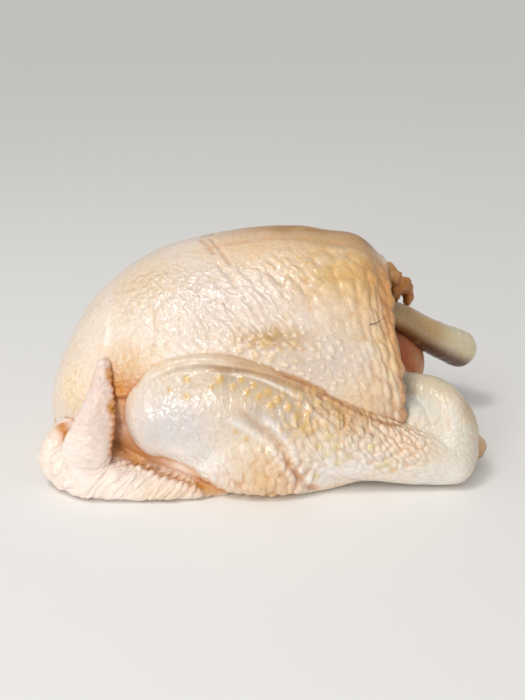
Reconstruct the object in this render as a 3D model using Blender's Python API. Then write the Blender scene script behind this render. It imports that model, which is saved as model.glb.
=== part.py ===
"""A whole raw village chicken, plucked and drawn, lying on its back with its legs and wings folded in.

Run it with blender --background --python part.py, or from Blender's text editor. Metres, +Z up.
The breast is up, the neck end is at -X and the tail at +X. The leg and wing on the -Y side lie lower
and closer than those on the +Y side, whose shank stands out of the vent. The origin is the middle of
the base of the bird's box.
"""

import math

import bmesh
import bpy
import numpy as np
from mathutils import Matrix, Vector

MM = 0.001

# Driving dimensions of the bird, all in millimetres
BODY_HALF_WIDTH = 56.0
BREAST_HEIGHT = 115.0
LEG_OUT = 48.0
WING_OUT = 55.5

# The rim of the vent: its wall, how deep the vent goes and how much it narrows, how far the rim's lower
# part reaches beyond its upper part, and how far the far side reaches beyond the near side
RIM_WALL = 4.5
VENT_DEPTH = 26.0
VENT_TAPER = 0.12
RIM_LEAN = 7.0
FAR_RIM_REACH = 14.0
LEAN_FROM_X, LEAN_TO_X = 30.0, 64.0
LEAN_FROM_Z, LEAN_TO_Z = 88.0, 40.0
FAR_RIM_Y = 42.0

# The block below z = 0 that cuts the resting face
SLAB = 400.0

# A limb's rounded end, as a share of its smaller half width
CAP_DEPTH = 0.9

# Mesh resolution: the fused skin's grid, the rounding of its creases, and the faces it keeps
GRID = 1.6
ROUNDING_PASSES = 4
MOST_TRIANGLES = 10000

# The trunk along X: x, share of the half width, lowest, widest and highest z
TRUNK = (
    (-109.0, 0.14, 17.0, 24.0, 31.0),
    (-105.0, 0.38, 11.0, 30.0, 44.0),
    (-99.0, 0.55, 6.0, 36.0, 57.0),
    (-87.0, 0.73, 2.0, 42.0, 76.5),
    (-72.0, 0.86, -1.0, 46.0, 90.5),
    (-50.0, 0.96, -2.0, 49.0, 103.5),
    (-22.0, 1.00, -2.0, 50.0, 111.0),
    (10.0, 1.00, -2.0, 50.0, BREAST_HEIGHT),
    (33.0, 0.97, -1.0, 49.0, BREAST_HEIGHT - 2.5),
    (50.0, 0.90, 1.0, 47.0, BREAST_HEIGHT - 5.5),
    (61.2, 0.83, 4.0, 45.0, BREAST_HEIGHT - 14.5),
)
KEEL_POWER = 1.88
BACK_POWER = 2.3

# A folded leg between its knee and its hock: share of the way, rise of the muscle, half depth, half height
DRUMSTICK = (
    (0.00, 0.0, 17.0, 23.0),
    (0.10, 3.5, 20.0, 29.0),
    (0.26, 6.2, 21.0, 32.0),
    (0.45, 5.2, 19.5, 28.0),
    (0.64, 1.6, 16.5, 20.5),
    (0.83, -1.4, 13.5, 14.5),
    (1.00, 0.0, 12.0, 13.0),
)
KNEE = (-50.0, LEG_OUT - 3.0, 37.0)
NEAR_HOCK = (91.0, LEG_OUT - 3.0, 13.0)
FAR_HOCK = (97.0, LEG_OUT - 1.0, 42.5)
FAR_HOCK_SLIM = 0.67

# Limbs as x, distance out from the middle, z, half width across and half thickness
THIGH = (
    (56.0, 43.0, 6.0, 7.0, 3.5),
    (44.0, 43.5, 6.5, 9.0, 4.6),
    (32.0, 44.5, 7.0, 11.5, 7.5),
    (22.0, 46.5, 8.0, 13.5, 10.0),
    (12.0, 48.0, 12.0, 16.5, 15.0),
    (1.0, 48.5, 17.5, 18.3, 20.5),
    (-14.0, 47.5, 23.0, 18.6, 24.0),
    (-36.0, 44.0, 30.0, 15.0, 21.0),
)
LEG_FOLD = (
    (-54.5, 48.5, 48.0, 5.5, 5.5),
    (-51.0, 50.0, 57.0, 5.5, 5.2),
    (-44.5, 51.0, 62.0, 5.2, 4.6),
    (-35.0, 51.8, 65.0, 4.6, 3.9),
    (-25.0, 53.0, 66.5, 4.2, 3.4),
    (-15.0, 54.0, 66.0, 4.0, 3.2),
    (-2.0, 54.5, 62.5, 3.8, 3.0),
    (12.0, 54.0, 57.0, 3.4, 2.8),
    (26.0, 53.0, 51.0, 3.0, 2.4),
)
NEAR_SHANK = (
    (46.0, 10.0, 40.0, 8.5, 10.0),
    (68.0, 21.0, 36.5, 9.5, 11.2),
    (84.0, 31.0, 33.5, 11.5, 13.6),
    (90.0, 39.0, 25.0, 12.5, 14.0),
    (91.0, 43.0, 15.0, 12.0, 13.0),
)
HOCK_WEB = (
    (56.0, 28.0, 32.0, 8.0, 10.0),
    (70.0, 35.0, 29.0, 9.0, 11.0),
    (82.0, 40.0, 22.0, 9.0, 9.0),
)
FAR_SHANK = (
    (48.0, 8.0, 73.5, 6.4, 6.4),
    (69.0, 18.0, 64.0, 6.6, 6.8),
    (88.0, 28.0, 49.0, 9.2, 9.0),
    (107.5, 37.0, 37.5, 10.2, 10.2),
)
UPPER_WING = (
    (-74.0, 34.0, 34.0, 13.0, 13.0),
    (-55.0, 40.0, 24.0, 13.0, 13.0),
    (-35.0, 47.0, 14.0, 12.0, 11.0),
    (-22.0, 52.0, 9.0, 10.0, 8.0),
)
FORE_WING = (
    (-20.0, WING_OUT - 2.0, 4.0, 7.0, 4.0),
    (-40.0, WING_OUT - 0.5, 5.0, 10.5, 5.0),
    (-64.0, WING_OUT - 1.0, 7.0, 12.5, 7.0),
    (-84.0, WING_OUT - 3.0, 9.0, 13.0, 9.0),
    (-93.0, WING_OUT - 6.0, 11.0, 11.0, 10.0),
)
WING_WEB = (
    (-82.0, 46.0, 14.0, 9.0, 9.0),
    (-66.0, 45.0, 11.0, 9.0, 9.0),
    (-50.0, 45.0, 10.0, 9.0, 9.0),
)
WING_EDGE = (
    (-87.0, 28.0, 21.0, 6.0, 6.0),
    (-96.0, 38.0, 21.5, 7.0, 7.2),
    (-100.5, 46.0, 13.0, 7.5, 7.8),
    (-93.0, 51.5, 8.0, 9.0, 8.0),
)
WING_TIP = (
    (-84.0, 56.0, 10.0, 10.0, 6.0),
    (-82.5, 57.0, 23.0, 11.0, 5.5),
    (-79.0, 54.8, 33.0, 9.5, 5.0),
    (-76.0, 52.2, 43.0, 7.3, 4.5),
    (-74.5, 49.0, 55.0, 4.6, 3.6),
    (-73.5, 46.3, 62.0, 3.2, 2.8),
)
TAIL = (
    (48.0, 0.0, 24.0, 34.0, 20.0),
    (68.0, 0.5, 19.0, 31.0, 17.0),
    (84.0, 2.5, 14.0, 24.0, 14.0),
    (98.0, 6.0, 5.5, 18.5, 10.0),
    (110.9, 10.0, -1.0, 12.5, 5.0),
)

# Soft masses: centre and radii
FAR_FLANK = ((66.0, 27.0, 31.0), (21.0, 14.0, 27.0))
NECK_SKIN = ((-95.0, 0.0, 13.0), (14.0, 27.0, 12.0))

# Loose tissue at the top of the vent: centre and radii
VENT_SHREDS = (
    ((60.0, 2.0, 90.5), (7.0, 10.0, 4.5)),
    ((65.5, 4.0, 85.5), (5.5, 8.0, 4.5)),
    ((69.5, 5.0, 83.5), (4.0, 5.5, 3.8)),
    ((64.0, -1.0, 82.5), (4.0, 5.0, 5.5)),
    ((73.0, 5.0, 78.0), (2.3, 3.0, 5.5)),
)


def through(stations, count):
    """Rows on a smooth curve through the stations, evenly spread along it."""
    rows = np.array(stations, float)
    steps = np.linalg.norm(np.diff(rows, axis=0), axis=1)
    at = np.concatenate([[0.0], np.cumsum(steps)])
    slope = np.gradient(rows, at, axis=0)
    places = np.linspace(0.0, at[-1], count)
    k = np.clip(np.searchsorted(at, places, side="right") - 1, 0, len(at) - 2)
    gap = (at[k + 1] - at[k])[:, None]
    t = (places - at[k])[:, None] / gap
    return (
        (1 + 2 * t) * (1 - t) ** 2 * rows[k]
        + t * (1 - t) ** 2 * gap * slope[k]
        + t * t * (3 - 2 * t) * rows[k + 1]
        - t * t * (1 - t) * gap * slope[k + 1]
    )


def ease(t):
    """0 below 0, 1 above 1 and a smooth step between."""
    t = min(max(t, 0.0), 1.0)
    return t * t * (3 - 2 * t)


def superellipse(angle, power):
    """Cosine and sine of a rounded box: power 2 is a circle, more is boxier and less is more pointed."""
    c, s = math.cos(angle), math.sin(angle)
    return (
        math.copysign(abs(c) ** (2 / power), c),
        math.copysign(abs(s) ** (2 / power), s),
    )


def closed_loft(name, rings):
    """A closed mesh object over rings of points in millimetres, with a pole at each end."""
    mesh = bpy.data.meshes.new(name)
    form = bpy.data.objects.new(name, mesh)
    bpy.context.scene.collection.objects.link(form)
    bm = bmesh.new()
    loops = [[bm.verts.new(Vector(p) * MM) for p in ring] for ring in rings]
    for low, high in zip(loops, loops[1:]):
        for i in range(len(low)):
            j = (i + 1) % len(low)
            bm.faces.new((low[i], low[j], high[j], high[i]))
    for loop in (loops[0], loops[-1]):
        pole = bm.verts.new(sum((v.co for v in loop), Vector()) / len(loop))
        for i in range(len(loop)):
            bm.faces.new((loop[i], loop[(i + 1) % len(loop)], pole))
    bmesh.ops.recalc_face_normals(bm, faces=bm.faces)
    bm.to_mesh(mesh)
    bm.free()
    return form


def trunk(sides=64):
    """The breast and back, hollow at the vent: the wall turns in over the rim and closes inside."""
    rows = [list(r) for r in through(TRUNK, 60)]
    last = rows[-1]
    steps = 6
    for i in range(1, steps + 1):
        a = math.pi * i / steps
        inset = RIM_WALL * (1 - math.cos(a)) / 2
        rows.append(
            [
                last[0] + RIM_WALL / 2 * math.sin(a),
                last[1] - inset / BODY_HALF_WIDTH,
                last[2] + inset,
                last[3],
                last[4] - inset,
            ]
        )
    _, width, low, middle, high = rows[-1]
    for share in (0.5, 1.0):
        narrower = 1 - VENT_TAPER * share
        rows.append(
            [
                last[0] - VENT_DEPTH * share,
                width * narrower,
                middle + (low - middle) * narrower,
                middle,
                middle + (high - middle) * narrower,
            ]
        )
    rings = []
    for x, width, low, middle, high in rows:
        ring = []
        for i in range(sides):
            angle = 2 * math.pi * i / sides
            up = math.sin(angle) > 0
            c, s = superellipse(angle, KEEL_POWER if up else BACK_POWER)
            reach = high - middle if up else middle - low
            y, z = BODY_HALF_WIDTH * width * c, middle + reach * s
            at_rim = ease((x - LEAN_FROM_X) / (LEAN_TO_X - LEAN_FROM_X))
            low_down = ease((z - LEAN_FROM_Z) / (LEAN_TO_Z - LEAN_FROM_Z))
            lean = RIM_LEAN * (low_down - 0.5) + FAR_RIM_REACH * low_down * ease(y / FAR_RIM_Y)
            ring.append((x + at_rim * lean, y, z))
        rings.append(ring)
    return closed_loft("trunk", rings)


def limb(name, stations, side, thin_way=(0, 0, 1), count=28, sides=28, power=2.0):
    """A round-ended limb along its stations. Its half thickness lies along thin_way."""
    rows = through(stations, count)
    centres = rows[:, :3] * (1, side, 1)
    tangents = np.gradient(centres, axis=0)
    rings = []

    def add_ring(centre, along, across, thick):
        t = Vector(along).normalized()
        n = Vector(thin_way)
        n = (n - n.dot(t) * t).normalized()
        b = t.cross(n)
        ring = []
        for i in range(sides):
            c, s = superellipse(2 * math.pi * i / sides, power)
            ring.append(Vector(centre) + b * (across * c) + n * (thick * s))
        rings.append(ring)

    def add_cap(row, centre, along, degrees, way):
        depth = min(row[3], row[4]) * CAP_DEPTH
        t = Vector(along).normalized()
        for a in map(math.radians, degrees):
            shift = t * (way * depth * math.sin(a))
            add_ring(Vector(centre) + shift, along, row[3] * math.cos(a), row[4] * math.cos(a))

    add_cap(rows[0], centres[0], tangents[0], range(80, 0, -20), -1)
    for row, centre, along in zip(rows, centres, tangents):
        add_ring(centre, along, row[3], row[4])
    add_cap(rows[-1], centres[-1], tangents[-1], range(20, 100, 20), 1)
    return closed_loft(name, rings)


def drumstick(name, side, hock, slim):
    """The muscle from the knee to this hock. slim scales its thickness towards the hock."""
    knee, hock = Vector(KNEE), Vector(hock)
    stations = []
    for t, rise, deep, tall in DRUMSTICK:
        p = knee.lerp(hock, t)
        thin = 1 + (slim - 1) * t
        stations.append((p.x, p.y, p.z + rise, deep * thin, tall * thin))
    return limb(name, stations, side, count=36, power=2.1)


def lump(name, centre, radii):
    """A smooth ellipsoid of flesh or fat."""
    bm = bmesh.new()
    bmesh.ops.create_icosphere(bm, subdivisions=4, radius=MM)
    for v in bm.verts:
        v.co = Vector(v.co[i] * radii[i] + centre[i] * MM for i in range(3))
    mesh = bpy.data.meshes.new(name)
    bm.to_mesh(mesh)
    bm.free()
    form = bpy.data.objects.new(name, mesh)
    bpy.context.scene.collection.objects.link(form)
    return form


def wing(name, side):
    """A wing folded in a Z: the upper wing back, the fore wing forward, and the tip up against the breast."""
    return [
        limb(f"{name}_upper_wing", UPPER_WING, side),
        limb(f"{name}_fore_wing", FORE_WING, side, power=2.4),
        limb(f"{name}_wing_web", WING_WEB, side),
        limb(f"{name}_wing_edge", WING_EDGE, side),
        limb(f"{name}_wing_tip", WING_TIP, side, thin_way=(0, 1, 0), power=2.3),
    ]


def leg(name, side, hock, shank, slim=1.0):
    """A folded leg: the thigh under the drumstick, the fold of skin over both, and the shank tucked in."""
    return [
        drumstick(f"{name}_drumstick", side, hock, slim),
        limb(f"{name}_thigh", THIGH, side, power=2.5),
        limb(f"{name}_leg_fold", LEG_FOLD, side),
        limb(f"{name}_shank", shank, side),
    ]


def forms():
    """Every part of the bird that is fused to the trunk."""
    return [
        *leg("near", -1, NEAR_HOCK, NEAR_SHANK),
        *leg("far", 1, FAR_HOCK, FAR_SHANK, slim=FAR_HOCK_SLIM),
        *wing("near", -1),
        *wing("far", 1),
        limb("near_hock_web", HOCK_WEB, -1),
        limb("tail", TAIL, -1, power=2.3),
        lump("far_flank", *FAR_FLANK),
        lump("neck_skin", *NECK_SKIN),
        *[lump(f"vent_shred_{i}", *shred) for i, shred in enumerate(VENT_SHREDS)],
    ]


def skin_material():
    """Raw skin: pale cream over flesh, wet enough to shine."""
    skin = bpy.data.materials.new("raw_skin")
    skin.use_nodes = True
    shader = skin.node_tree.nodes["Principled BSDF"]
    shader.inputs["Base Color"].default_value = (0.80, 0.62, 0.46, 1.0)
    shader.inputs["Roughness"].default_value = 0.35
    return skin


def apply_modifiers(form):
    """Replaces the object's mesh by what its modifiers make of it."""
    graph = bpy.context.evaluated_depsgraph_get()
    made = bpy.data.meshes.new_from_object(form.evaluated_get(graph))
    form.modifiers.clear()
    form.data = made


def fuse(base, others):
    """Joins the other forms to base with one Boolean union, and removes them."""
    group = bpy.data.collections.new("fused")
    bpy.context.scene.collection.children.link(group)
    for form in others:
        bpy.context.scene.collection.objects.unlink(form)
        group.objects.link(form)
    union = base.modifiers.new("fuse", "BOOLEAN")
    union.operation = "UNION"
    union.operand_type = "COLLECTION"
    union.collection = group
    union.solver = "EXACT"
    apply_modifiers(base)
    for form in others:
        bpy.data.objects.remove(form)
    bpy.data.collections.remove(group)


def soften(form):
    """Turns the sharp seams between fused forms into the rounded creases of one skin."""
    remesh = form.modifiers.new("one_skin", "REMESH")
    remesh.mode = "VOXEL"
    remesh.voxel_size = GRID * MM
    smooth = form.modifiers.new("soften", "SMOOTH")
    smooth.factor = 0.5
    smooth.iterations = ROUNDING_PASSES
    apply_modifiers(form)


def reduce_faces(form):
    """Keeps the faces where the form bends most."""
    form.data.calc_loop_triangles()
    triangulate = form.modifiers.new("triangles", "TRIANGULATE")
    triangulate.min_vertices = 4
    decimate = form.modifiers.new("fewer", "DECIMATE")
    decimate.ratio = MOST_TRIANGLES / len(form.data.loop_triangles)
    apply_modifiers(form)


def rest_on_base(form):
    """Cuts the back flat where it lies on the surface, and centres the box over the origin."""
    size = SLAB * MM
    bpy.ops.mesh.primitive_cube_add(size=size, location=(0, 0, -size / 2))
    slab = bpy.context.object
    cut = form.modifiers.new("resting_face", "BOOLEAN")
    cut.operation = "DIFFERENCE"
    cut.object = slab
    apply_modifiers(form)
    bpy.data.objects.remove(slab)
    corners = np.array([v.co for v in form.data.vertices])
    middle = (corners.min(axis=0) + corners.max(axis=0)) / 2
    form.data.transform(Matrix.Translation((-middle[0], -middle[1], 0)))
    return middle


def main():
    for old in list(bpy.data.objects):
        bpy.data.objects.remove(old)
    chicken = trunk()
    chicken.name = "chicken"
    fuse(chicken, forms())
    soften(chicken)
    reduce_faces(chicken)
    rest_on_base(chicken)
    chicken.data.materials.clear()
    chicken.data.materials.append(skin_material())
    chicken.data.shade_smooth()


if __name__ == "__main__":
    main()
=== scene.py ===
"""The looks of a whole raw village chicken: wet plucked skin over yellow fat and pale flesh.

The skin is made in closed pieces that fold over each other as the bird's do: the trunk with its vent, each
leg with its tucked shank, each wing, the tail, the lip of skin at the neck and the tissue at the vent.
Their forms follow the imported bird's. Fine relief is in the meshes, and the same fields then colour it.
"""

import math
from collections import namedtuple

import bpy
import numpy as np
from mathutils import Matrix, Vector
from mathutils.kdtree import KDTree


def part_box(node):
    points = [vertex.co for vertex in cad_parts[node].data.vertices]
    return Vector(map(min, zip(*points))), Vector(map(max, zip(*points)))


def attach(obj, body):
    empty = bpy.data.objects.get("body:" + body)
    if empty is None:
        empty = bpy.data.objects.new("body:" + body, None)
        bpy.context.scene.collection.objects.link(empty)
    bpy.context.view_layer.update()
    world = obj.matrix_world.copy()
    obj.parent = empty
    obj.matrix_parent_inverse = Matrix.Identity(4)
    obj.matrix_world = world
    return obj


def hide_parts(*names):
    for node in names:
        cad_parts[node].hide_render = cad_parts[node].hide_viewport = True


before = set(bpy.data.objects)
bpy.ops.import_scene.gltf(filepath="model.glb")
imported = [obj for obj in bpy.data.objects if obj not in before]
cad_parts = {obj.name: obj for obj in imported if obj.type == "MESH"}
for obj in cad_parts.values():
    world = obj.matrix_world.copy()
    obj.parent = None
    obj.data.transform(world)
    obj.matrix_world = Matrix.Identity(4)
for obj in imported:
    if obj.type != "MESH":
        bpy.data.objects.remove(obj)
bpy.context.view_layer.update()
cad_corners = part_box("chicken")

MM = 0.001

# The bird is measured in millimetres from an origin that lies this far from the middle of its box
FROM_MIDDLE = np.array((-3.97, 0.0, 0.0))

# The photo's camera: its height over the object, its distance, and the picture's size and focal length
CAMERA_ELEVATION = 22
CAMERA_DISTANCE = 480
CAMERA_AIM = (0, 0, 45)
PICTURE = (525, 700)
FOCAL_PIXELS = 936
PICTURE_CENTRE = (264, 361)
SENSOR_HEIGHT = 36

# The photo's light: an even surround, a wide pale sun, and two soft lights with their places and sizes in
# metres and their power in watts
SURROUND_STRENGTH = 0.42
SUN_STRENGTH, SUN_SPREAD, SUN_COLOUR = 0.76, 40, (1.0, 0.96, 0.9)
SUN_WAY = (0.32, 0.52, -0.79)
SOFTBOXES = (("window", (-0.42, -0.95, 0.20), 0.24, 3.2), ("skylight", (-0.30, -0.36, 1.00), 0.22, 2.6))
LIGHTS_AIM = (0, 0, 0.05)

# Forms of the bird in millimetres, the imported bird's own
BODY_HALF_WIDTH = 56
BREAST_HEIGHT = 115
LEG_OUT = 48
WING_OUT = 55.5
RIM_WALL = 4.5
VENT_DEPTH = 26
VENT_TAPER = 0.12
RIM_LEAN = 7
FAR_RIM_REACH = 14
LEAN_FROM_X, LEAN_TO_X = 30, 64
LEAN_FROM_Z, LEAN_TO_Z = 88, 40
FAR_RIM_Y = 42
KEEL_POWER = 1.88
BACK_POWER = 2.3
CAP_DEPTH = 0.9

# The trunk along X: x, share of the half width, lowest, widest and highest z
TRUNK = (
    (-109, 0.14, 17, 24, 31), (-105, 0.38, 11, 30, 44), (-99, 0.55, 6, 36, 57), (-87, 0.73, 2, 42, 76.5),
    (-72, 0.86, -1, 46, 90.5), (-50, 0.96, -2, 49, 103.5), (-22, 1, -2, 50, 111),
    (10, 1, -2, 50, BREAST_HEIGHT), (33, 0.97, -1, 49, BREAST_HEIGHT - 2.5),
    (50, 0.9, 1, 47, BREAST_HEIGHT - 5.5), (61.2, 0.83, 4, 45, BREAST_HEIGHT - 14.5),
)

# The neck end is closed by smaller rings: their share of the first ring, and how far they bulge
NOSE_RINGS = ((0.3, 0.5), (0.6, 0.35), (0.85, 0.15))

# A folded leg between its knee and its hock: share of the way, rise of the muscle, half depth, half height
DRUMSTICK = (
    (0, 0, 17, 23), (0.1, 3.5, 20, 29), (0.26, 6.2, 21, 32), (0.45, 5.2, 19.5, 28),
    (0.64, 1.6, 16.5, 20.5), (0.83, -1.4, 13.5, 14.5), (1, 0, 12, 13),
)
KNEE = (-50, LEG_OUT - 3, 37)
NEAR_HOCK = (91, LEG_OUT - 3, 13)
FAR_HOCK = (97, LEG_OUT - 1, 42.5)
FAR_HOCK_SLIM = 0.67

# Limbs as x, distance out from the middle, z, half width across and half thickness
THIGH = (
    (56, 43, 6, 7, 3.5), (44, 43.5, 6.5, 9, 4.6), (32, 44.5, 7, 11.5, 7.5), (22, 46.5, 8, 13.5, 10),
    (12, 48, 12, 16.5, 15), (1, 48.5, 17.5, 18.3, 20.5), (-14, 47.5, 23, 18.6, 24), (-36, 44, 30, 15, 21),
)
LEG_FOLD = (
    (-54.5, 48.5, 48, 5.5, 5.5), (-51, 50, 57, 5.5, 5.2), (-44.5, 51, 62, 5.2, 4.6),
    (-35, 51.8, 65, 4.6, 3.9), (-25, 53, 66.5, 4.2, 3.4), (-15, 54, 66, 4, 3.2),
    (-2, 54.5, 62.5, 3.8, 3), (12, 54, 57, 3.4, 2.8), (26, 53, 51, 3, 2.4),
)
NEAR_SHANK = (
    (46, 10, 40, 8.5, 10), (68, 21, 36.5, 9.5, 11.2), (84, 31, 33.5, 11.5, 13.6),
    (90, 39, 25, 12.5, 14), (91, 43, 15, 12, 13),
)
HOCK_WEB = ((56, 28, 32, 8, 10), (70, 35, 29, 9, 11), (82, 40, 22, 9, 9))
FAR_SHANK = (
    (48, 8, 73.5, 6.4, 6.4), (69, 18, 64, 6.6, 6.8), (88, 28, 49, 9.2, 9), (107.5, 37, 37.5, 10.2, 10.2),
)
UPPER_WING = ((-74, 34, 34, 13, 13), (-55, 40, 24, 13, 13), (-35, 47, 14, 12, 11), (-22, 52, 9, 10, 8))
FORE_WING = (
    (-20, WING_OUT - 2, 4, 7, 4), (-40, WING_OUT - 0.5, 5, 10.5, 5), (-64, WING_OUT - 1, 7, 12.5, 7),
    (-84, WING_OUT - 3, 9, 13, 9), (-93, WING_OUT - 6, 11, 11, 10),
)
WING_WEB = ((-82, 46, 14, 9, 9), (-66, 45, 11, 9, 9), (-50, 45, 10, 9, 9))
WING_EDGE = ((-87, 28, 21, 6, 6), (-96, 38, 21.5, 7, 7.2), (-100.5, 46, 13, 7.5, 7.8), (-93, 51.5, 8, 9, 8))
WING_TIP = (
    (-84, 56, 10, 10, 6), (-82.5, 57, 23, 11, 5.5), (-79, 54.8, 33, 9.5, 5), (-76, 52.2, 43, 7.3, 4.5),
    (-74.5, 49, 55, 4.6, 3.6), (-73.5, 46.3, 62, 3.2, 2.8),
)
TAIL = (
    (48, 0, 24, 34, 20), (68, 0.5, 19, 31, 17), (84, 2.5, 14, 24, 14), (98, 6, 5.5, 18.5, 10),
    (110.9, 10, -1, 12.5, 5),
)

# Which way a limb's half thickness lies, and the limbs of a wing: stations, that way, and how boxy they are
UP, OUT = (0, 0, 1), (0, 1, 0)
WING_LIMBS = (
    (UPPER_WING, UP, 2), (FORE_WING, UP, 2.4), (WING_WEB, UP, 2), (WING_EDGE, UP, 2), (WING_TIP, OUT, 2.3),
)

# Soft masses: centre and radii
FAR_FLANK = ((66, 27, 31), (21, 14, 27))
NECK_SKIN = ((-95, 0, 13), (14, 27, 12))
VENT_SHREDS = (
    ((60, 2, 90.5), (7, 10, 4.5)), ((65.5, 4, 85.5), (5.5, 8, 4.5)), ((69.5, 5, 83.5), (4, 5.5, 3.8)),
    ((64, -1, 82.5), (4, 5, 5.5)), ((73, 5, 78), (2.3, 3, 5.5)),
)

# How far apart the rings at the end of the shank and the teeth on the wing's edges are
RING_SPACING = 5.2
TOOTH_SPACING = 3.4

# The painted shade where two folds of skin meet: how far it reaches in millimetres, its strength, what it
# does to the red, green and blue of the skin, and the soft place over the knee that hardly has it
SEAM_REACH = 1.5
SEAM_STRENGTH = 0.85
SEAM_SHADE = (0.80, 0.50, 0.27)
SEAM_SOFT = ((-40, 53, 65), (30, 20, 18))

# More boxes of that reach than the bird has along any of its sides
BOXES_IN_ROW = 4096

# How fine the skin's meshes are: rows and sides of the trunk, and millimetres between points
TRUNK_ROWS = 206
TRUNK_SIDES = 416
LEG_GRID = 0.72
WING_GRID = 0.62
FLESH_GRID = 0.75

# Large numbers that scramble whole numbers into chance
SCRAMBLE_PLACE = (374761393, 668265263, 1274126177)
SCRAMBLE_SEED = 974634777
SCRAMBLE_AGAIN = 1103515245


def ease(t):
    """0 below 0, 1 above 1 and a smooth step between."""
    t = np.clip(t, 0.0, 1.0)
    return t * t * (3 - 2 * t)


def bell(distance, width):
    """1 in the middle, falling off smoothly to nearly 0 at twice this width."""
    return np.exp(-((distance / width) ** 2))


def faded(share, ends):
    """1 along a line, and a smooth fall to 0 over this share of it at both ends."""
    return ease(share / ends) * ease((1 - share) / ends)


def unit(v):
    """The same directions with length 1."""
    return v / np.maximum(np.linalg.norm(v, axis=-1, keepdims=True), 1e-9)


def through(stations, count):
    """Rows on a smooth curve through the stations, evenly spread along it."""
    rows = np.array(stations, float)
    steps = np.linalg.norm(np.diff(rows, axis=0), axis=1)
    at = np.concatenate([[0.0], np.cumsum(steps)])
    slope = np.gradient(rows, at, axis=0)
    places = np.linspace(0.0, at[-1], count)
    k = np.clip(np.searchsorted(at, places, side="right") - 1, 0, len(at) - 2)
    gap = (at[k + 1] - at[k])[:, None]
    t = (places - at[k])[:, None] / gap
    return (
        (1 + 2 * t) * (1 - t) ** 2 * rows[k]
        + t * (1 - t) ** 2 * gap * slope[k]
        + t * t * (3 - 2 * t) * rows[k + 1]
        - t * t * (1 - t) * gap * slope[k + 1]
    )


def superellipse(angle, power):
    """Cosine and sine of a rounded box: power 2 is a circle, more is boxier and less is more pointed."""
    c, s = np.cos(angle), np.sin(angle)
    return np.sign(c) * np.abs(c) ** (2 / power), np.sign(s) * np.abs(s) ** (2 / power)


def in_scene(name, data):
    """A new object of the scene for this mesh, light or camera."""
    thing = bpy.data.objects.new(name, data)
    bpy.context.scene.collection.objects.link(thing)
    return thing


def closed_loft(name, rings):
    """A closed mesh object over rings of points in millimetres, with a pole at each end, faces outwards."""
    count, sides = rings.shape[:2]
    points = np.concatenate([rings.reshape(-1, 3), rings[0].mean(0)[None], rings[-1].mean(0)[None]])
    at = np.arange(count * sides).reshape(count, sides)
    after = np.roll(at, -1, axis=1)
    quads = np.stack([at[:-1], after[:-1], after[1:], at[1:]], axis=-1).reshape(-1, 4)
    ends = [(after[0, i], at[0, i], count * sides) for i in range(sides)]
    ends += [(at[-1, i], after[-1, i], count * sides + 1) for i in range(sides)]
    mesh = bpy.data.meshes.new(name)
    mesh.from_pydata((points + FROM_MIDDLE) * MM, [], quads.tolist() + [[int(i) for i in e] for e in ends])
    a, b, c = (points[quads[:, i]] for i in range(3))
    if np.einsum("ij,ij->", a, np.cross(b, c)) < 0:
        mesh.flip_normals()
    return in_scene(name, mesh)


def axis_of(stations, side, count):
    """Points along the middle of a limb, its directions there, and its half width and half thickness."""
    rows = through(stations, count)
    centres = rows[:, :3] * (1, side, 1)
    return centres, unit(np.gradient(centres, axis=0)), rows[:, 3], rows[:, 4]


def limb(name, stations, side, thin_way, power, count=70, sides=72):
    """A round-ended limb along its stations. Its half thickness lies along thin_way."""
    centres, along, across, thick = axis_of(stations, side, count)
    c, s = superellipse(np.linspace(0, 2 * math.pi, sides, endpoint=False), power)
    caps = []
    for i, way in ((0, -1), (count - 1, 1)):
        reach = way * CAP_DEPTH * min(across[i], thick[i])
        lean = np.radians(np.arange(84, 0, -12))
        caps.append([(centres[i] + along[i] * reach * math.sin(a), i, math.cos(a)) for a in lean])
    rings = []
    for centre, i, share in caps[0] + [(centres[i], i, 1.0) for i in range(count)] + caps[1][::-1]:
        up = np.array(thin_way, float)
        up = unit(up - up.dot(along[i]) * along[i])
        out = np.cross(along[i], up)
        rings.append(centre + share * (np.outer(across[i] * c, out) + np.outer(thick[i] * s, up)))
    return closed_loft(name, np.array(rings))


def lump(name, centre, radii, sides=48, rows=24):
    """A smooth ellipsoid of flesh or fat."""
    up = np.radians(np.linspace(-86, 86, rows))
    turn = np.linspace(0, 2 * math.pi, sides, endpoint=False)
    level = [np.outer(np.cos(up), part) for part in (np.cos(turn), np.sin(turn))]
    ball = np.stack([*level, np.outer(np.sin(up), np.ones(sides))], axis=-1)
    return closed_loft(name, ball * radii + centre)


def drumstick_stations(hock, slim):
    """The muscle from the knee to this hock. slim scales its thickness towards the hock."""
    knee, hock = np.array(KNEE), np.array(hock)
    rows = []
    for t, rise, deep, tall in DRUMSTICK:
        x, y, z = knee + (hock - knee) * t
        thin = 1 + (slim - 1) * t
        rows.append((x, y, z + rise, deep * thin, tall * thin))
    return rows


def baked(form):
    """Replaces the object's mesh by what its modifiers make of it."""
    graph = bpy.context.evaluated_depsgraph_get()
    made = bpy.data.meshes.new_from_object(form.evaluated_get(graph))
    old = form.data
    form.modifiers.clear()
    form.data = made
    bpy.data.meshes.remove(old)
    return form


def one_skin(name, parts, grid, passes):
    """Fuses closed forms into one closed skin, and rounds the creases between them."""
    base = parts[0]
    bpy.ops.object.select_all(action="DESELECT")
    for part in parts:
        part.select_set(True)
    bpy.context.view_layer.objects.active = base
    bpy.ops.object.join()
    base.name = name
    remesh = base.modifiers.new("one_skin", "REMESH")
    remesh.mode = "VOXEL"
    remesh.voxel_size = grid * MM
    soften = base.modifiers.new("soften", "SMOOTH")
    soften.factor = 0.5
    soften.iterations = passes
    return baked(base)


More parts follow.
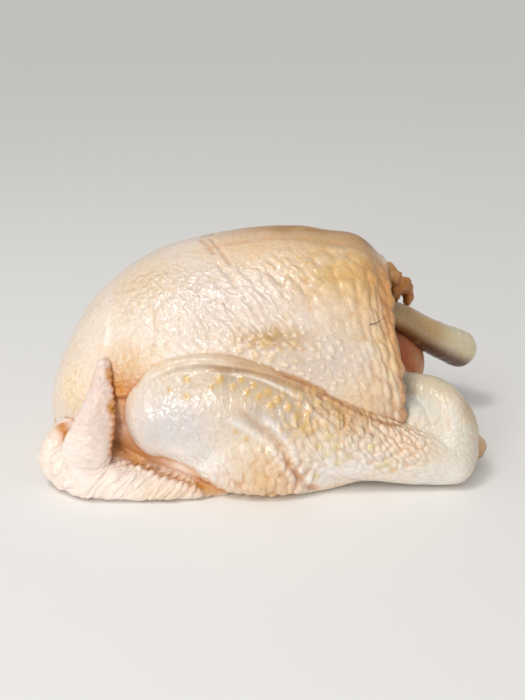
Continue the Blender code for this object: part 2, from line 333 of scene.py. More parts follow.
def limbs_skin(name, limbs, side, grid):
    """The limbs of a leg or a wing, fused into one skin."""
    parts = []
    for i, (stations, thin_way, power) in enumerate(limbs):
        parts.append(limb(f"{name}_{i}", stations, side, thin_way, power))
    return one_skin(name, parts, grid, 4)


def points_of(form):
    """The mesh's points in the bird's millimetres."""
    co = np.empty(len(form.data.vertices) * 3, np.float32)
    form.data.vertices.foreach_get("co", co)
    return co.reshape(-1, 3).astype(float) / MM - FROM_MIDDLE


def set_points(form, points):
    """Moves the mesh's points to these places in the bird's millimetres."""
    form.data.vertices.foreach_set("co", ((points + FROM_MIDDLE) * MM).astype(np.float32).ravel())
    form.data.update()


def raise_skin(form, points, height):
    """Moves each of the mesh's points out by its height in millimetres."""
    n = np.empty(len(points) * 3, np.float32)
    form.data.vertex_normals.foreach_get("vector", n)
    set_points(form, points + height[:, None] * n.reshape(-1, 3).astype(float))


def chance(cells, seed):
    """A repeatable number from 0 to 1 for each row of three whole numbers."""
    h = (cells * SCRAMBLE_PLACE).sum(-1) + seed * SCRAMBLE_SEED
    h = (h ^ (h >> 13)) * SCRAMBLE_AGAIN & 0xFFFFFFFF
    return ((h ^ (h >> 16)) & 0xFFFF) / 0xFFFF


def swell(points, size, seed):
    """Smooth random swelling between -1 and 1, of this size in millimetres."""
    p = points / size
    low = np.floor(p).astype(np.int64)
    t = ease(p - low)
    total = np.zeros(len(points))
    for corner in np.ndindex(2, 2, 2):
        weight = np.prod(np.where(corner, t, 1 - t), axis=1)
        total += weight * chance(low + corner, seed)
    return total * 2 - 1


def mirrored(points):
    """The same places on the near side: the bird's two sides are alike, and y becomes the way out."""
    return np.column_stack([points[:, 0], np.abs(points[:, 1]), points[:, 2]])


def near(points, centre, radii):
    """1 in the middle of a soft ellipsoid and 0 outside it, for both sides of the bird."""
    return 1 - ease(np.linalg.norm((mirrored(points) - centre) / np.array(radii), axis=1))


def along_line(points, line):
    """How far points are from a line through the listed places, and their share of the way along it."""
    points = mirrored(points)
    line = through(line, 20)
    best = np.full(len(points), 1e9)
    share = np.zeros(len(points))
    for i, (a, b) in enumerate(zip(line, line[1:])):
        t = np.clip((points - a) @ (b - a) / max((b - a) @ (b - a), 1e-9), 0, 1)
        d = np.linalg.norm(points - a - t[:, None] * (b - a), axis=1)
        closer = d < best
        best[closer] = d[closer]
        share[closer] = (i + t[closer]) / (len(line) - 1)
    return best, share


def crease(points, line, width, depth, lips=0.35):
    """A groove along a line with slightly swollen lips, fading out at both ends."""
    d, share = along_line(points, line)
    return faded(share, 0.15) * depth * (lips * bell(d - 2 * width, width) - bell(d, width))


def ridge(points, line, width, height):
    """A thin raised fold along a line, fading out at both ends."""
    d, share = along_line(points, line)
    return faded(share, 0.2) * height * bell(d, width)


def teeth(points, line, width, height):
    """Skin that stands up in uneven teeth along a line, as where quills were pulled."""
    d, share = along_line(points, line)
    length = np.linalg.norm(np.diff(np.array(line), axis=0), axis=1).sum()
    at = share * length / TOOTH_SPACING + 0.35 * swell(points, 5.0, 51)
    tooth = np.abs(at % 1.0 * 2 - 1) * (0.7 + 0.3 * swell(points, 4.0, 52))
    return faded(share, 0.1) * height * tooth * bell(d, width)


def linear(colour):
    """A colour written as sRGB hex, as the linear numbers that materials and points hold."""
    srgb = np.array([int(colour[i : i + 2], 16) for i in (1, 3, 5)]) / 255
    return np.where(srgb <= 0.04045, srgb / 12.92, ((srgb + 0.055) / 1.055) ** 2.4)


def painted(points, base, zones):
    """The colour of each point: a base with soft zones of other colours over it."""
    loose = points + 3.0 * np.column_stack([swell(points, 9.0, seed) for seed in (41, 42, 43)])
    tone = np.tile(linear(base), (len(points), 1))
    for colour, centre, radii, strength in zones:
        tone += (strength * near(loose, centre, radii))[:, None] * (linear(colour) - tone)
    return tone


def overlaid(tone, overlays):
    """The colours with others laid over them, stains and painted shade and painted highlights alike, each a
    colour and how much of it every point takes.
    """
    for colour, share in overlays:
        tone = tone + np.reshape(share, (-1, 1)) * (linear(colour) - tone)
    return tone


def streaks(points, lines):
    """Colours along lines, as painted shade in creases, painted highlights on ridges and the skin's own edge
    colours: a colour, the line's places, its width in millimetres and its strength.
    """
    for colour, line, width, strength in lines:
        d, share = along_line(points, line)
        yield colour, strength * faded(share, 0.1) * bell(d, width)


def limb_frame(points, limbs, side):
    """For each point: the limb it lies on, its place along and round that limb in millimetres, the share of
    the limb's length, and how clear of the places where the frame turns over it is, from 0 to 1."""
    best = np.full(len(points), 9.0)
    which = np.zeros(len(points), int)
    along_it, round_it, share, clear = (np.zeros(len(points)) for _ in range(4))
    for k, (stations, thin_way, _) in enumerate(limbs):
        centres, along, across, thick = axis_of(stations, side, 60)
        size = np.sqrt(across * thick)
        square = (points**2).sum(1)[:, None] + (centres**2).sum(1) - 2 * points @ centres.T
        d = np.sqrt(np.maximum(square, 0)) / size
        i = d.argmin(axis=1)
        d = d.min(axis=1)
        closer = d < best
        clear = np.where(closer, best - d, np.minimum(clear, d - best))
        best = np.minimum(best, d)
        i = i[closer]
        away = points[closer] - centres[i]
        up = np.array(thin_way, float)
        up = unit(up - (along[i] @ up)[:, None] * along[i])
        out = np.cross(along[i], up)
        out *= np.where(out[:, 1] * side < -0.2, -1.0, 1.0)[:, None]
        at = np.concatenate([[0.0], np.cumsum(np.linalg.norm(np.diff(centres, axis=0), axis=1))])
        turn = np.arctan2((away * up).sum(1), (away * out).sum(1))
        ahead = (away * along[i]).sum(1)
        which[closer] = k
        along_it[closer] = at[i] + ahead
        round_it[closer] = -turn * size.mean()
        share[closer] = at[i] / at[-1]
        off_axis = np.linalg.norm(away - ahead[:, None] * along[i], axis=1) / size[i]
        off_turn = np.minimum(0.5 * off_axis, 0.3 * (math.pi - np.abs(turn)))
        clear[closer] = np.minimum(clear[closer], off_turn)
    return which, along_it, round_it, share, ease(clear / 0.14)


# Kinds and settings of node that come up often
MATH, VECTOR_MATH = "ShaderNodeMath", "ShaderNodeVectorMath"
NOISE, RANGE = "ShaderNodeTexNoise", "ShaderNodeMapRange"
TIMES, PLUS, TIMES_PLUS = ({"operation": word} for word in ("MULTIPLY", "ADD", "MULTIPLY_ADD"))
MINUS, SCALED = {"operation": "SUBTRACT"}, {"operation": "SCALE"}
FLAT = {"noise_dimensions": "2D"}
SMOOTH = {"interpolation_type": "SMOOTHSTEP"}


def add(tree, kind, inputs=(), settings=()):
    """Adds a node with its settings. Each input, by name or in order, is set, or linked to another node's
    output, which is its first one where only the node is given."""
    node = tree.nodes.new(kind)
    for name, value in dict(settings).items():
        setattr(node, name, value)
    for key, value in inputs.items() if isinstance(inputs, dict) else enumerate(inputs):
        if isinstance(value, bpy.types.Node):
            value = value.outputs[0]
        if isinstance(value, bpy.types.NodeSocket):
            tree.links.new(value, node.inputs[key])
        else:
            node.inputs[key].default_value = value
    return node


# The marks of plucked skin: how far the pattern is turned, in degrees, the length and width of one cell and
# how high it stands, in millimetres, and the reading of the pattern at a cell's foot and at its top
Mark = namedtuple("Mark", "turn length width height foot top")
CELL_MARKS = {
    "follicle": Mark(-50, 6.2, 4.0, 0.85, 0.50, 0.06),
    "pimple": Mark(0, 5.0, 4.6, 0.60, 0.32, 0.04),
    "pebble": Mark(-44, 4.8, 2.9, 0.90, 0.72, 0.12),
    "cushion": Mark(-30, 4.8, 3.9, 1.10, 0.78, 0.12),
    "goose": Mark(10, 2.2, 2.0, 0.36, 0.62, 0.10),
    "lobe": Mark(15, 8.6, 7.0, 0.85, 0.84, 0.06),
    "rim": Mark(8, 4.0, 8.6, 1.10, 0.75, 0.10),
}
LINE_MARKS = {
    "stretch": Mark(-52, 13.0, 2.6, 0.60, 0.34, 0.66),
    "web": Mark(-66, 4.2, 2.1, 0.46, 0.36, 0.64),
    "fold": Mark(0, 3.8, 11.0, 1.10, 0.30, 0.68),
}
MARKS = {**CELL_MARKS, **LINE_MARKS}

# What each point of a skin keeps: millimetres along and round its limb and how much it has of each mark,
# and for its colour also its tone, how wet it is and how much fat lies under it
MARK_FIELDS = {"grain": "FLOAT_VECTOR", **{"has_" + name: "FLOAT" for name in MARKS}}
SKIN_FIELDS = {**MARK_FIELDS, "tone": "FLOAT_COLOR", "wet": "FLOAT", "fat": "FLOAT"}

# The readings where the gap between two cells begins and where it is deepest
GAP_FOOT, GAP_DEEP = 0.42, 0.75

# The marks wander, with a bend about every 8 mm, by up to half of this many millimetres
BEND_SCALE, BEND_REACH = 0.12, 3.6


def skin_patterns(tree, kept):
    """The marks of plucked skin, from 0 to 1 where the bird has them, for its relief and its colour. kept
    holds the outputs that give what the points keep."""
    bend = add(tree, NOISE, {"Vector": kept["grain"], "Scale": BEND_SCALE, "Detail": 1.0}, FLAT)
    bend = add(tree, VECTOR_MATH, (bend.outputs[1], (0.5, 0.5, 0.5)), MINUS)
    bend = add(tree, VECTOR_MATH, {0: bend, "Scale": BEND_REACH}, SCALED)
    grain = add(tree, VECTOR_MATH, (kept["grain"], bend), PLUS)
    shown = {}
    for name, mark in MARKS.items():
        inputs = {"Vector": grain, "Angle": math.radians(mark.turn)}
        turned = add(tree, "ShaderNodeVectorRotate", inputs, {"rotation_type": "Z_AXIS"})
        cell = add(tree, VECTOR_MATH, (turned, (1 / mark.length, 1 / mark.width, 1.0)), TIMES)
        inputs = {"Vector": cell, "Scale": 1.0}
        steps = {name: (mark.foot, mark.top)}
        if name in CELL_MARKS:
            kind, settings = "ShaderNodeTexVoronoi", {"voronoi_dimensions": "2D", "feature": "F1"}
            inputs["Randomness"] = 0.7
            steps[name + " gap"] = (GAP_FOOT, GAP_DEEP)
        else:
            kind, settings = NOISE, FLAT
            inputs.update({"Detail": 2.0, "Roughness": 0.6, "Distortion": 0.6})
        field = add(tree, kind, inputs, settings)
        for label, (low, high) in steps.items():
            share = add(tree, RANGE, (field, low, high), SMOOTH)
            shown[label] = add(tree, MATH, (share, kept["has_" + name]), TIMES)
    return shown


def new_tree(name, numbers):
    """A geometry nodes tree that takes a mesh, these numbers and a material, and its inputs to link from."""
    tree = bpy.data.node_groups.new(name, "GeometryNodeTree")
    tree.interface.new_socket("Geometry", in_out="INPUT", socket_type="NodeSocketGeometry")
    for label, usual in numbers.items():
        socket = tree.interface.new_socket(label, in_out="INPUT", socket_type="NodeSocketFloat")
        socket.default_value = usual
    tree.interface.new_socket("Skin", in_out="INPUT", socket_type="NodeSocketMaterial")
    tree.interface.new_socket("Geometry", in_out="OUTPUT", socket_type="NodeSocketGeometry")
    return tree, add(tree, "NodeGroupInput").outputs


def end_tree(tree, geometry, material):
    """Makes the geometry real, gives it its material and hands it out."""
    real = add(tree, "GeometryNodeRealizeInstances", {"Geometry": geometry})
    dressed = add(tree, "GeometryNodeSetMaterial", {"Geometry": real, "Material": material})
    add(tree, "NodeGroupOutput", {"Geometry": dressed})
    return tree


def relief_tree():
    """Geometry nodes that raise the marks of plucked skin over a mesh."""
    heights = {f"{name} height": mark.height * MM for name, mark in MARKS.items()}
    tree, given = new_tree("skin_relief", heights)
    kept = {}
    for name, kind in MARK_FIELDS.items():
        node = add(tree, "GeometryNodeInputNamedAttribute", {"Name": name}, {"data_type": kind})
        kept[name] = next(s for s in node.outputs if s.enabled and s.name == "Attribute")
    shown = skin_patterns(tree, kept)
    total = 0.0
    for name in MARKS:
        total = add(tree, MATH, (shown[name], given[f"{name} height"], total), TIMES_PLUS)
    normal = add(tree, "GeometryNodeInputNormal")
    offset = add(tree, VECTOR_MATH, {0: normal, "Scale": total}, SCALED)
    moved = add(tree, "GeometryNodeSetPosition", {"Geometry": given["Geometry"], "Offset": offset})
    return end_tree(tree, moved, given["Skin"])


def strand_tree():
    """Geometry nodes that make a thin tapering hair of a bent line."""
    tree, given = new_tree("hair", {"Radius": 0.0})
    curve = add(tree, "GeometryNodeMeshToCurve", {"Mesh": given["Geometry"]})
    share = add(tree, "GeometryNodeSplineParameter").outputs["Factor"]
    thin = add(tree, RANGE, (share, 0.0, 1.0, 1.0, 0.35), SMOOTH)
    size = add(tree, MATH, (thin, given["Radius"]), TIMES)
    inputs = {"Resolution": 8, "Radius": 1.0}
    ring = add(tree, "GeometryNodeCurvePrimitiveCircle", inputs, {"mode": "RADIUS"})
    inputs = {"Curve": curve, "Profile Curve": ring, "Scale": size, "Fill Caps": True}
    return end_tree(tree, add(tree, "GeometryNodeCurveToMesh", inputs), given["Skin"])


def with_nodes(form, tree, values):
    """Runs a geometry nodes tree on a form with these named inputs, and keeps the mesh that it makes."""
    modifier = form.modifiers.new(tree.name, "NODES")
    modifier.node_group = tree
    for item in tree.interface.items_tree:
        if item.in_out == "INPUT" and item.name in values:
            modifier[item.identifier] = values[item.name]
    form.data.update()
    return baked(form)


# Patterns in the skin, each with its size in millimetres, detail, roughness and distortion: patches of fat
# and flesh under it, fine flecks, and creases of the outer skin, which are really about 1 mm apart and are
# drawn coarser so that they show
PATCHES = (9.09, 3.0, 0.6, 0.0)
FLECKS = (1.613, 2.0, 0.6, 0.0)
CRINKLES = (1.786, 1.5, 0.5, 1.2)

# How rough the skin is where it is dry and where it is wet, and how far light goes into it in millimetres
DRY_ROUGHNESS, WET_ROUGHNESS = 0.50, 0.14
LIGHT_DEPTH = 1.5

# The output by which a material reads each kind of field, and the name under which points hold it
READ_AS = {"FLOAT": "Fac", "FLOAT_COLOR": "Color", "FLOAT_VECTOR": "Vector"}
HELD_AS = {"FLOAT": "value", "FLOAT_COLOR": "color", "FLOAT_VECTOR": "vector"}

# How high the fine creases stand beside the marks, in millimetres, how far into the skin the bump reaches,
# and how much the flecks add to the reading of how wet it is
CRINKLE_HEIGHT = 0.4
BUMP_REACH = 0.4
FLECK_DAMP = 0.3


def skin_material():
    """Raw chicken skin, scalded, plucked and rinsed. Light goes a little way into it, to the fat and flesh
    underneath, so it looks soft and waxy, and the film of water on it breaks up into small glints.
    Its colours are painted on the points, and the marks tint them."""
    skin = bpy.data.materials.new("plucked_chicken_skin_wet")
    skin.use_nodes = True
    tree = skin.node_tree
    tree.nodes.clear()
    kept = {}
    for name, kind in SKIN_FIELDS.items():
        node = add(tree, "ShaderNodeAttribute", (), {"attribute_name": name})
        kept[name] = node.outputs[READ_AS[kind]]
    shown = skin_patterns(tree, kept)
    place = add(tree, "ShaderNodeTexCoord").outputs["Object"]
    patterns = []
    for size, detail, rough, warp in (PATCHES, FLECKS, CRINKLES):
        inputs = {"Vector": place, "Scale": 1 / (size * MM), "Detail": detail, "Roughness": rough}
        patterns.append(add(tree, NOISE, {**inputs, "Distortion": warp}))
    patch, fleck, crinkle = patterns
    colour, wet, fat = kept["tone"], kept["wet"], kept["fat"]
    light = add(tree, "ShaderNodeRGBToBW", (colour,))
    pale = add(tree, RANGE, (light, 0.10, 0.55), SMOOTH)
    pale_fat = add(tree, MATH, (pale, fat), TIMES)

    # Each layer of colour: its colour, how much of it each place takes, and the most that it covers
    layers = (
        ("#e6bf80", add(tree, RANGE, (patch, 0.52, 0.74, 0.0, fat), SMOOTH), 0.30),
        ("#dcc8c4", add(tree, RANGE, (patch, 0.46, 0.24, 0.0, pale_fat), SMOOTH), 0.34),
        ("#f6eadb", add(tree, RANGE, (fleck, 0.55, 0.75, 0.0, pale), SMOOTH), 0.26),
        # The gaps between cells: painted shade, a deeper orange in the grooves
        ("#d39a58", shown["pebble gap"], 0.50),
        ("#cf8f48", shown["cushion gap"], 0.60),
        ("#d9a057", shown["lobe gap"], 0.45),
        ("#cf9050", shown["rim gap"], 0.52),
        ("#e6bd72", shown["follicle"], 0.75),
        ("#f1e0c2", shown["pimple"], 0.60),
        # Painted shade in the grooves between goose bumps
        ("#d49a55", shown["goose gap"], 0.40),
        # Stretch, web and fold marks: a painted highlight, paler on their crests
        ("#f8efe4", shown["stretch"], 0.26),
        ("#f8efe4", shown["web"], 0.20),
        ("#fdf1e6", shown["fold"], 0.45),
        # The crinkles: painted shade in their hollows and painted light on their tops
        ("#c08a55", add(tree, RANGE, (crinkle, 0.50, 0.28, 0.0, pale_fat), SMOOTH), 0.22),
        ("#fff7ec", add(tree, RANGE, (crinkle, 0.54, 0.74, 0.0, pale_fat), SMOOTH), 0.18),
    )
    for paint, share, most in layers:
        inputs = {0: add(tree, MATH, (share, most), TIMES), 6: colour, 7: (*linear(paint), 1.0)}
        colour = add(tree, "ShaderNodeMix", inputs, {"data_type": "RGBA", "blend_type": "MIX"}).outputs[2]

    # The bump sharpens the marks that the mesh already raises
    rise = add(tree, MATH, (crinkle, CRINKLE_HEIGHT), TIMES)
    for name, mark in MARKS.items():
        rise = add(tree, MATH, (shown[name], mark.height, rise), TIMES_PLUS)
    bump = add(tree, "ShaderNodeBump", {"Strength": 1.0, "Distance": BUMP_REACH * MM, "Height": rise})
    damp = add(tree, MATH, (fleck, FLECK_DAMP, wet), TIMES_PLUS)
    inputs = {
        "Base Color": colour,
        "Roughness": add(tree, RANGE, (damp, 0.0, 1.2, DRY_ROUGHNESS, WET_ROUGHNESS), SMOOTH),
        "IOR": 1.48,
        "Subsurface Weight": 0.22,
        "Subsurface Radius": (1.0, 0.42, 0.22),
        "Subsurface Scale": LIGHT_DEPTH * MM,
        "Coat Weight": wet,
        "Coat Roughness": 0.09,
        "Coat IOR": 1.45,
        "Coat Normal": bump,
        "Normal": bump,
    }
    shader = add(tree, "ShaderNodeBsdfPrincipled", inputs, {"subsurface_method": "RANDOM_WALK"})
    add(tree, "ShaderNodeOutputMaterial", (shader,))
    return skin


def plain_material(name, colour, roughness, more):
    """An even surface of one colour. more sets other inputs of its shader."""
    material = bpy.data.materials.new(name)
    material.use_nodes = True
    shader = material.node_tree.nodes["Principled BSDF"]
    for label, value in {"Base Color": (*linear(colour), 1.0), "Roughness": roughness, **more}.items():
        shader.inputs[label].default_value = value
    return material


def store_skin(form, grain, tone, wet, fat=1.0, **has):
    """Keeps for each point of a skin its grain, its colour, how wet it is, how much fat mottles it and how
    much of each mark it has."""
    none = np.zeros(len(tone))
    shares = {"wet": wet, "fat": fat, **{"has_" + mark: has.get(mark, 0) for mark in MARKS}}
    values = {name: np.clip(none + share, 0, 1) for name, share in shares.items()}
    values["grain"] = np.column_stack([*grain, none])
    values["tone"] = np.column_stack([tone, none + 1])
    for name, kind in SKIN_FIELDS.items():
        held = form.data.attributes.new(name, kind, "POINT").data
        held.foreach_set(HELD_AS[kind], values[name].astype(np.float32).ravel())


def spread_angles(sides):
    """Angles round the trunk, closer together where the bird is seen than under its back."""
    fine = np.linspace(0, 2 * math.pi, 4000, endpoint=False)
    weight = np.where(np.sin(fine) < -0.6, 0.35, np.where(np.cos(fine) > 0.3, 0.8, 1.0))
    at = np.cumsum(weight) / weight.sum()
    return np.interp((np.arange(sides) + 0.5) / sides, at, fine)


def trunk_rings():
    """Rings of the breast and back, over the vent's rim and down inside it, and which one is the rim."""
    rows = through(TRUNK, TRUNK_ROWS)
    last = rows[-1]
    rim = []
    for a in np.radians(np.arange(15, 181, 15)):
        inset = RIM_WALL * (1 - math.cos(a)) / 2
        x = last[0] + RIM_WALL / 2 * math.sin(a)
        rim.append((x, last[1] - inset / BODY_HALF_WIDTH, last[2] + inset, last[3], last[4] - inset))
    x, width, low, middle, high = rim[-1]
    inside = []
    for share in np.linspace(0, 1, 12)[1:]:
        narrower = 1 - VENT_TAPER * share
        low_in, high_in = middle + (low - middle) * narrower, middle + (high - middle) * narrower
        inside.append((x - VENT_DEPTH * share, width * narrower, low_in, middle, high_in))
    x, width, low, middle, high = np.concatenate([rows, rim, inside]).T[:, :, None]
    angle = spread_angles(TRUNK_SIDES)
    up = np.sin(angle) > 0
    c, s = np.where(up, superellipse(angle, KEEL_POWER), superellipse(angle, BACK_POWER))
    y = BODY_HALF_WIDTH * width * c
    z = middle + np.where(up, high - middle, middle - low) * s
    low_down = ease((z - LEAN_FROM_Z) / (LEAN_TO_Z - LEAN_FROM_Z))
    lean = RIM_LEAN * (low_down - 0.5) + FAR_RIM_REACH * low_down * ease(y / FAR_RIM_Y)
    x = x + ease((x - LEAN_FROM_X) / (LEAN_TO_X - LEAN_FROM_X)) * lean
    rings = np.stack([x, y, z], axis=-1)
    front, back = rings[0].mean(0), rings[-1].mean(0)
    nose = [front + (rings[0] - front) * share - (bulge, 0, 0) for share, bulge in NOSE_RINGS]
    wall = [back + (rings[-1] - back) * share for share in np.linspace(1, 0, 8)[1:-1]]
    return np.concatenate([np.array(nose), rings, np.array(wall)]), len(nose) + TRUNK_ROWS - 1


def trunk_grain(rings, rim):
    """Millimetres along the trunk from its rim, and round it from the keel, for each point of its rings."""
    along = np.linalg.norm(np.diff(rings, axis=0), axis=-1)
    along = np.concatenate([np.zeros((1, rings.shape[1])), np.cumsum(along, axis=0)])
    along -= along[rim]
    steps = np.linalg.norm(np.roll(rings, -1, axis=1) - rings, axis=-1)
    at = np.concatenate([np.zeros((len(rings), 1)), np.cumsum(steps, axis=1)], axis=1)[:, :-1]
    top = rings[:, :, 2].argmax(axis=1)
    round_it = np.abs(at - at[np.arange(len(rings)), top][:, None])
    whole = steps.sum(axis=1)[:, None]
    return along.ravel(), np.minimum(round_it, whole - round_it).ravel()


# Wrinkles, creases and streaks of the trunk, as places on the near side
BREAST_WRINKLES = (
    ((-31.4, 0, 109.2), (-26.7, 10.8, 108.5), (-23, 19.7, 106.1)),
    ((-27.3, 0, 109.8), (-22.8, 12.2, 108.9), (-18.7, 20.7, 106.3), (-14.8, 28.1, 102.7)),
    ((-22.4, 23.4, 104.2), (-16.6, 31, 100.2), (-10.9, 38.2, 94.3)),
    ((-26.3, 43.4, 85.5), (-19.9, 45.7, 83.4), (-13.5, 47.7, 80.8)),
    ((-1.8, 28.7, 103.8), (4.6, 33.7, 100.1), (10, 37.7, 96)),
    ((11, 31.6, 101.8), (16, 36.3, 97), (20.4, 40.2, 92.1)),
)
SHOULDER_LINE = ((-50.6, 36.2, 87.4), (-49.7, 42.8, 80), (-50, 47.6, 72.1), (-50.9, 50.2, 65.8))
SHOULDER_STREAK = ((-73.2, 26.8, 80.8), (-72.8, 34.7, 74.6), (-72.8, 40.3, 67.8))
LEG_CREASE = (
    (-24.8, 54.8, 69.4), (-9.6, 57, 66.5), (3.8, 56.8, 62.4), (18.6, 56.1, 55.9),
    (37.1, 55, 44.5), (49, 53.7, 37.8), (61.3, 50.5, 32.6), (67.4, 47.6, 30.7),
)
GAP_CREASE = ((-71, 48.4, 46.8), (-65.5, 50, 46.6), (-59, 51.5, 47.4))


def trunk():
    """The breast and back with the vent, its skin painted and wrinkled."""
    rings, rim = trunk_rings()
    form = closed_loft("trunk_skin", rings)
    points = points_of(form)
    along, round_it = (np.concatenate([a, [a[0], a[-1]]]) for a in trunk_grain(rings, rim))
    inside = ease(along / 6)
    outside = 1 - inside
    fat = near(points, (40, 28, 98), (50, 40, 32))
    at_rim = outside * ease(1.1 + along / 30) * ease((round_it - 20) / 20)

    # Heights in millimetres: the whole skin, the fat, the back edge, its scallops, the vent's wall, the folds
    height = 0.5 * swell(points, 26, 1) + 0.25 * swell(points, 10, 2)
    height += 0.5 * fat * swell(points, 9, 3)
    height += 0.6 * at_rim * swell(points, 7, 4)
    height += 1.8 * bell(along - 2.5, 4) * ease((round_it - 10) / 14) * swell(points, 4.5, 6)
    height += 0.7 * inside * swell(points, 4.5, 5)
    for line in BREAST_WRINKLES:
        height += crease(points, line, 1.1, 0.8)
    height += crease(points, SHOULDER_LINE, 1.0, 0.5) + crease(points, GAP_CREASE, 1.1, 1.0)
    height += ridge(points, SHOULDER_STREAK, 1.6, 0.5)
    height -= 0.2 * outside * bell(round_it - 13, 1.6) * ease((along + 115) / 40) * ease(-along / 10)
    raise_skin(form, points, height)
    zones = (
        ("#ebdac8", (-85, 25, 60), (40, 60, 60), 1),
        ("#f2dbb6", (-90, 34, 44), (18, 26, 18), 0.9),
        ("#ddd3ce", (-92, 40, 30), (12, 14, 8), 0.9),
        ("#d8c4b6", (-14, 38, 88), (58, 46, 36), 0.9),
        ("#e0c198", (-56, 20, 96), (28, 26, 18), 0.6),
        ("#e4c194", (-8, 16, 110), (40, 24, 16), 0.9),
        ("#deb676", (40, 28, 100), (48, 38, 30), 1),
        ("#cf9850", (54, 24, 98), (20, 20, 20), 0.9),
        ("#b27d2c", (18, 0, 116), (64, 17, 16), 1),
        ("#aa7224", (52, 0, 110), (28, 22, 16), 1),
        ("#c6974e", (28, 13, 111), (44, 15, 12), 0.7),
        ("#d4c1b2", (24, 54, 66), (44, 30, 26), 1),
        ("#d9ba8c", (42, 48, 80), (26, 20, 15), 0.6),
        ("#b28232", (3, 51, 76), (27, 12, 8.5), 0.9),
        ("#dccfc6", (28, 54, 71), (16, 16, 10), 0.6),
        ("#c8b498", (11, 54, 67), (14, 14, 8), 0.5),
        ("#e2c08c", (60, 38, 70), (18, 36, 44), 1),
        ("#e6c69c", (50, 51, 46), (26, 24, 24), 0.9),
        ("#e4c79c", (0, 0, 0), (120, 60, 26), 0.6),
        ("#d8ab70", (-62, 50, 61), (22, 24, 20), 0.8),
        # Painted shade: the orange of the gap behind the wing
        ("#c98018", (-64, 50, 50), (18, 22, 14), 1),
        ("#d6a272", (-66, 50, 39), (16, 20, 12), 0.9),
        # Painted shade: the dark lower part of the gap between the wing and the knee
        ("#cf9878", (-64, 50, 24), (20, 24, 20), 1),
    )
    lines = (
        # Painted shade along the gap crease, the leg crease, the shoulder line and two keel wrinkles
        ("#b5691c", GAP_CREASE, 1.4, 0.9),
        ("#cf9458", LEG_CREASE, 1.8, 0.5),
        ("#9a5218", LEG_CREASE, 0.8, 0.8),
        ("#cf9a64", SHOULDER_LINE, 1.0, 0.35),
        ("#c08d58", BREAST_WRINKLES[0], 1.0, 0.5),
        ("#c08d58", BREAST_WRINKLES[1], 1.0, 0.5),
        # A painted highlight along the shoulder's streak
        ("#fbf2e6", SHOULDER_STREAK, 1.8, 0.7),
    )
    tone = overlaid(painted(points, "#ecdccb", zones), streaks(points, lines))
    keel = outside * bell(round_it - 13, 2.2) * ease((along + 115) / 50)
    high = ease((points[:, 2] - 62) / 24)
    edge = outside * ease(1 + along / (3.5 + 5 * high)) * ease((round_it - 4) / 14)
    high_edge = outside * high * ease(1 + along / 20) * ease((round_it - 4) / 14)
    overlays = (
        ("#c98f55", 0.32 * keel),
        ("#cf9556", 0.7 * high_edge),
        ("#c88a4c", 0.8 * edge),
        # The vent's inside: painted shade, near-black brown in the recess
        ("#66301a", inside),
    )
    flank = near(points, (26, 54, 64), (64, 34, 34))
    shoulder = near(points, (-64, 48, 56), (18, 22, 20)) + 0.5 * near(points, (-90, 34, 45), (22, 30, 30))
    dotted = 0.6 * near(points, (-58, 28, 90), (26, 26, 20))
    dotted += 0.7 * near(points, (10, 30, 103), (36, 18, 14)) + 0.8 * near(points, (0, 52, 72), (40, 20, 14))
    pebbled = 0.3 * near(points, (48, 50, 46), (30, 24, 22))
    pebbled += 0.35 * near(points, (-50, 26, 92), (34, 36, 26))
    webbed = (0.3 + 1.2 * near(points, (-42, 36, 86), (48, 38, 34))) * (1 - fat) * ease((round_it - 10) / 8)
    wet = near(points, (-36, 38, 86), (50, 36, 34)) + 0.8 * near(points, (20, 36, 96), (34, 22, 18))
    wet += 0.7 * near(points, (-8, 47, 82), (36, 20, 22))
    store_skin(
        form,
        (along + 300 * (points[:, 1] > 0), round_it),
        overlaid(tone, overlays),
        0.25 + wet,
        follicle=outside * dotted,
        pimple=outside * 1.6 * flank * (1 - at_rim) * (1 - fat),
        pebble=outside * pebbled,
        goose=outside * 2 * shoulder,
        lobe=outside * 1.5 * fat * (1 - at_rim) * ease((round_it - 12) / 6),
        rim=at_rim,
        stretch=outside * near(points, (-10, 38, 90), (50, 40, 32)),
        web=outside * webbed,
    )
    return form


# Folds and stretched skin of a leg, as places on the near side
THIGH_FOLD = (
    (-13, 64.7, 48.4), (-8.5, 65.1, 45.2), (-1.8, 65.4, 39.4), (5, 65.1, 32.7),
    (9.6, 64.6, 24.8), (12.9, 64.6, 17), (18.2, 62.2, 8.3), (25.5, 57.9, 3.2),
)
STRETCHED_SKIN = (
    ((-15.2, 58.1, 63.1), (-6.3, 59.4, 59.8), (4.9, 60.5, 54.4), (16.2, 60.7, 48.6), (25.4, 61.2, 41.8)),
    ((16.2, 60.7, 48.6), (25.4, 61.2, 41.8), (32.4, 61.5, 34.9), (37.1, 61.7, 28.4)),
    ((-20, 64, 45), (-6, 66, 37), (4, 65.5, 28), (12, 64, 14), (22, 60, 5)),
    ((-2, 65.5, 45), (7, 65, 37), (13, 64.5, 27), (17, 63, 16), (24, 59.5, 6)),
    ((-50, 58, 22), (-38, 61, 17), (-22, 62, 15)),
    ((-46, 58, 17), (-34, 61, 13), (-18, 62, 12)),
)
UNDER_CREASE = (
    (-28.3, 56.8, 64.8), (-17.5, 57.6, 64.2), (-3.5, 58.2, 62.3), (11.7, 57.5, 56.9),
    (24.3, 56.7, 51), (38, 57, 42.5), (50, 56, 36.5),
)
FOLD_LIGHT = ((-17, 58.3, 62.6), (-4, 58.7, 60.8), (4.9, 59, 57), (15.7, 59.7, 50.9), (25.9, 60.9, 42.2))
SIDE_FOLDS = (
    ((14, 60, 52), (24, 60.5, 45), (32, 60.6, 38), (38, 60.3, 31)),
    ((22, 58.5, 50), (32, 59.4, 42.5), (40, 59.6, 36), (46, 59.4, 29.5)),
    ((30, 57.5, 46), (40, 58.4, 39), (48, 58.4, 33), (54, 57.8, 27)),
)

